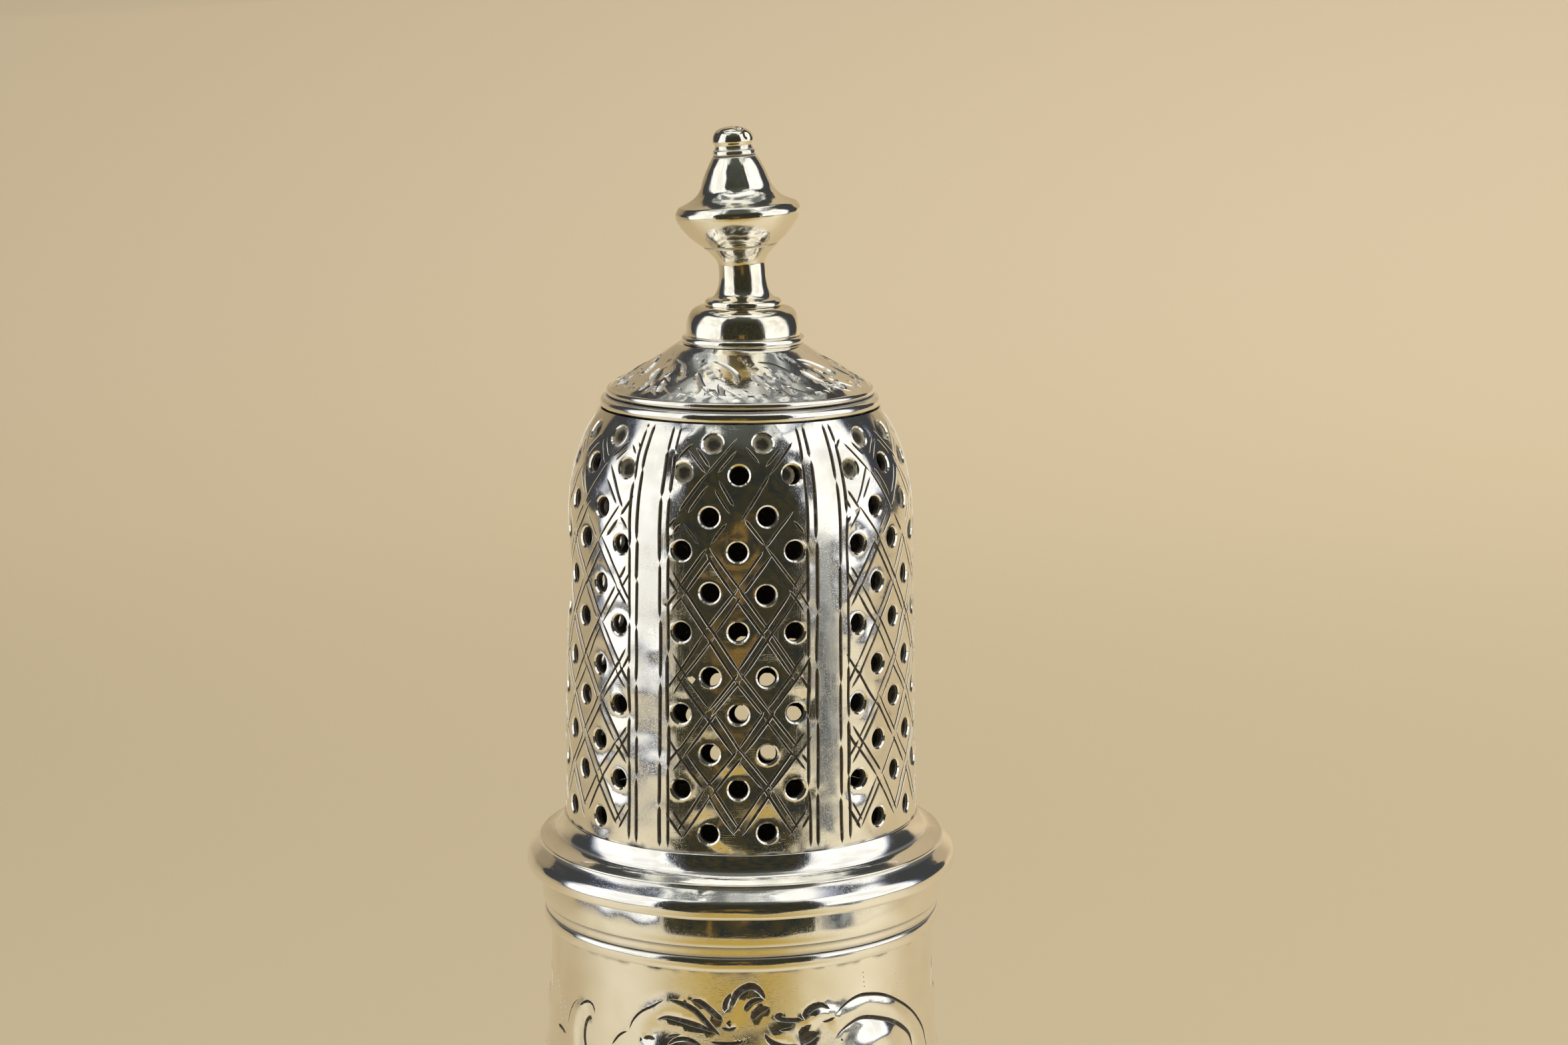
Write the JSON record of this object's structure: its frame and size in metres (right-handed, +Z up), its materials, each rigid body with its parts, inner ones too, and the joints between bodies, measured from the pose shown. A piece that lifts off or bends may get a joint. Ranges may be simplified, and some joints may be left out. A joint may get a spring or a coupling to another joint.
{
  "type": "sugar caster",
  "caption": "Silver sugar caster: a baluster body on a spreading foot, with a pull-off cover that is pierced to shake sugar through and ends in a turned finial.",
  "frame": {"origin": "on the caster's axis, in the plane that the foot rim stands on", "axes": "+Z up along the axis, from foot to finial; the middle of one pierced panel of the cover faces -Y"},
  "size_m": [0.0558, 0.0558, 0.18],
  "materials": {
    "raised_silver": "polished and aged, with tarnish in the chased and engraved lines",
    "cast_silver": "polished casting, worn soft on its edges",
    "wire_silver": "polished drawn wire, with dirt in its hollows",
    "inner_silver": "satin, rubbed by the fit in the mouth"
  },
  "bodies": {
    "caster_body": {"foot_rim": "wire_silver", "foot": "raised_silver", "stem_knop": "cast_silver", "body_shell": "raised_silver", "mouth_band": "wire_silver"},
    "cover": {"cover_sleeve": "inner_silver", "cover_flange": "wire_silver", "cover_dome": "raised_silver", "cap_ring": "wire_silver", "cap": "raised_silver", "boss_ring": "wire_silver", "finial_boss": "cast_silver", "finial": "cast_silver"}
  },
  "joints": [
    {"name": "cover_lift", "type": "slide", "parent": "caster_body", "child": "cover", "axis": [0, 0, 1], "range_m": [0, 0.07]}
  ]
}
